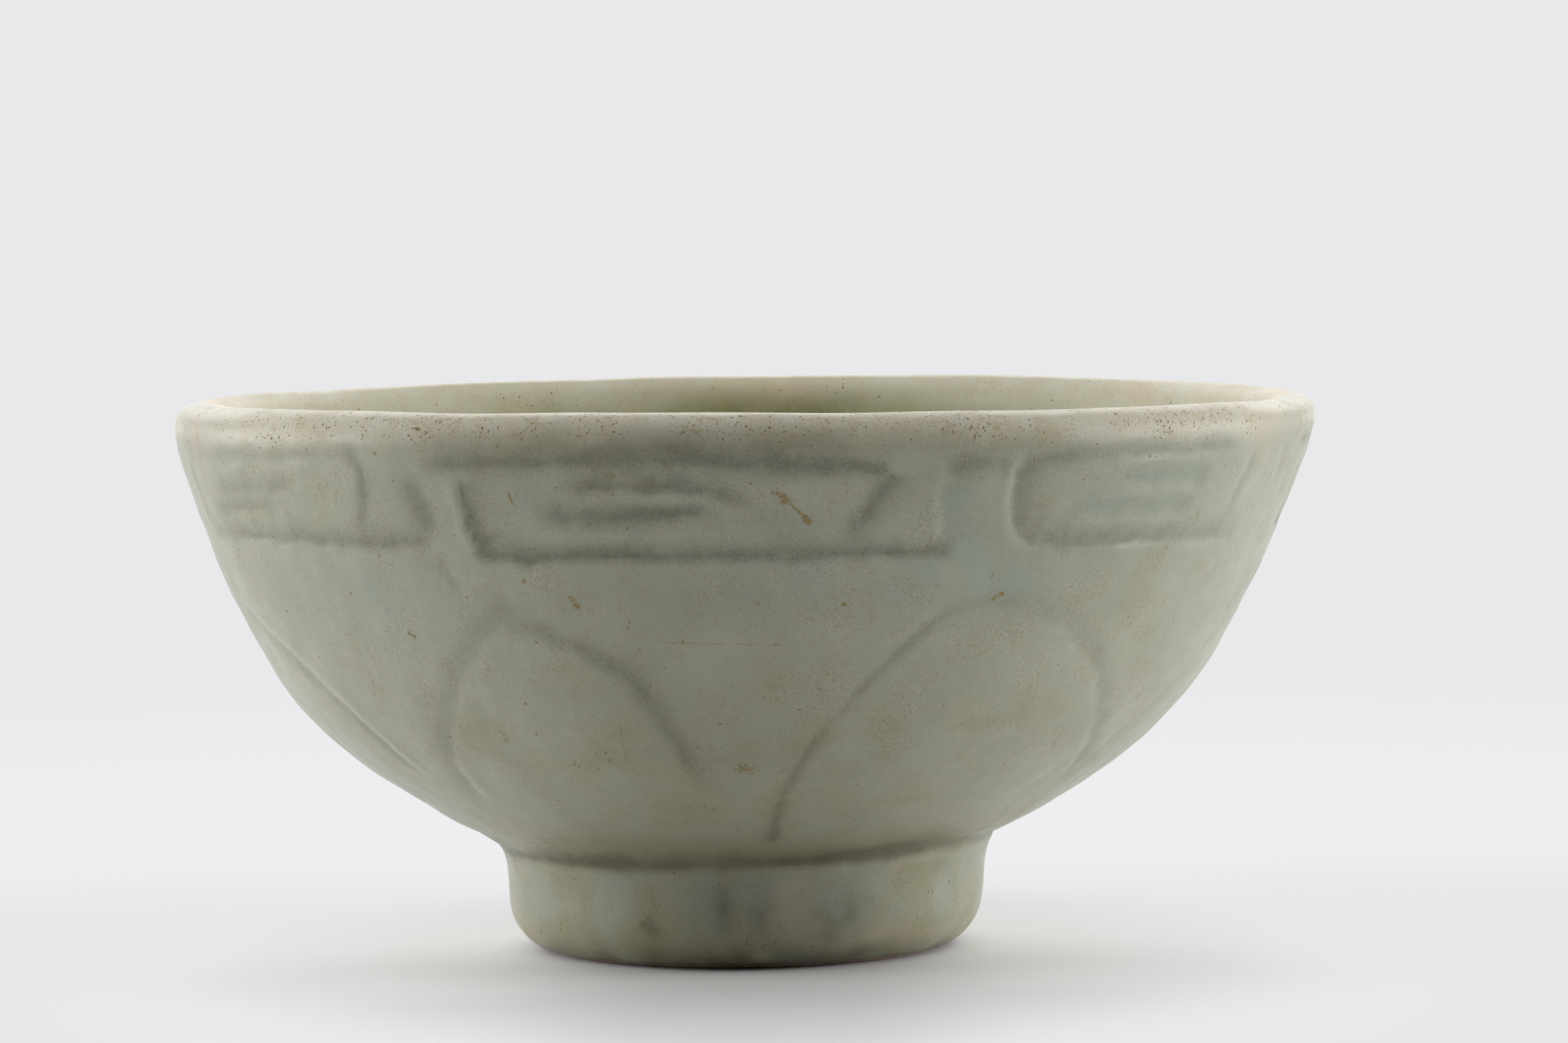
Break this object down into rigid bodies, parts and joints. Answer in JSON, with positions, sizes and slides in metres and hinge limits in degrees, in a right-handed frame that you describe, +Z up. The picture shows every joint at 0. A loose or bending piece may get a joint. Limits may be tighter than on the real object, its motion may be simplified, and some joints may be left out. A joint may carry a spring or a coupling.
{
  "type": "celadon bowl",
  "caption": "Round footed stoneware bowl with a rounded lip and a grey-green celadon glaze, carved outside with a key-fret band over lotus petals; holds food or drink.",
  "frame": {"origin": "on the bowl's axis, in the plane of the table that the foot ring stands on", "axes": "+Z up along the bowl's axis; the side that the picture shows faces -Y, with +X to its right"},
  "size_m": [0.15, 0.15, 0.0728],
  "materials": {
    "stoneware": "unglazed grey-buff stoneware",
    "foot_stoneware": "unglazed stoneware, burnt reddish where it is bare",
    "celadon_outside": "satin grey-green celadon glaze, darker where it pools in the carving",
    "celadon_inside": "satin grey-green celadon glaze"
  },
  "bodies": {
    "root": {"bowl_body": "stoneware", "foot_ring": "foot_stoneware", "outer_glaze": "celadon_outside", "inner_glaze": "celadon_inside"}
  },
  "joints": []
}
